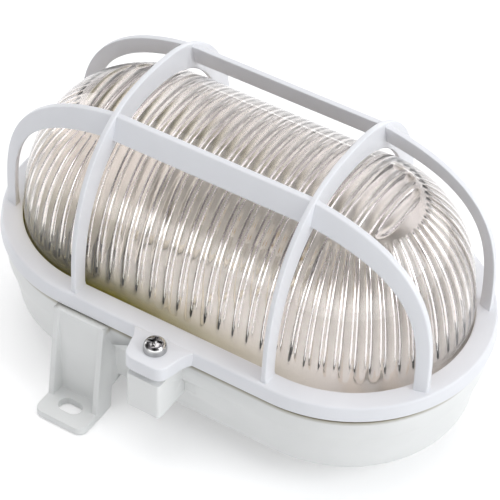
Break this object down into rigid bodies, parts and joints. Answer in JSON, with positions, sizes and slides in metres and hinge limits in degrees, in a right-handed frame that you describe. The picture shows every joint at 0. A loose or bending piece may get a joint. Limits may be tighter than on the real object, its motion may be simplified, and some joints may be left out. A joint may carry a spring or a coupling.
{
  "type": "outdoor wall light",
  "caption": "Oval bulkhead wall light: fluted glass dome under a moulded guard cage, on a shallow base that stands off the wall on two slotted feet.",
  "frame": {"origin": "middle between the two fixing feet, on the wall plane that their soles lie in", "axes": "+Z out of the wall through the glass, +X along the light's long side away from the lamp holder, +Y towards the rear foot"},
  "size_m": [0.1826, 0.1338, 0.1094],
  "materials": {
    "cage_plastic": "satin white moulded plastic",
    "base_plastic": "satin white moulded plastic, a little warmer than the cage",
    "clear_glass": "clear pressed glass with flutes inside",
    "rubber": "soft off-white rubber",
    "olive_rubber": "matt olive brown rubber",
    "plated_steel": "bright zinc plating",
    "bracket_steel": "plated sheet",
    "holder_plastic": "glossy thermoset",
    "brass": "stamped brass",
    "terminal_plastic": "matt nylon",
    "cream_sleeve": "cream heat-resistant sleeving"
  },
  "bodies": {
    "root": {"base_housing": "base_plastic", "guard_cage": "cage_plastic", "glass_dome": "clear_glass", "glass_gasket": "olive_rubber", "cable_grommet": "rubber", "cover_screw_front": "plated_steel", "cover_screw_rear": "plated_steel", "cover_nut_front": "plated_steel", "cover_nut_rear": "plated_steel", "holder_body": "holder_plastic", "holder_thread_shell": "plated_steel", "centre_contact": "brass", "side_contact": "brass", "holder_bracket": "bracket_steel", "holder_screw_left": "plated_steel", "holder_screw_right": "plated_steel", "bracket_screw_left": "plated_steel", "bracket_screw_right": "plated_steel", "terminal_block": "terminal_plastic", "terminal_screw_1": "brass", "terminal_screw_2": "brass", "terminal_screw_3": "brass", "terminal_screw_4": "brass", "live_lead": "cream_sleeve", "neutral_lead": "cream_sleeve"}
  },
  "joints": []
}
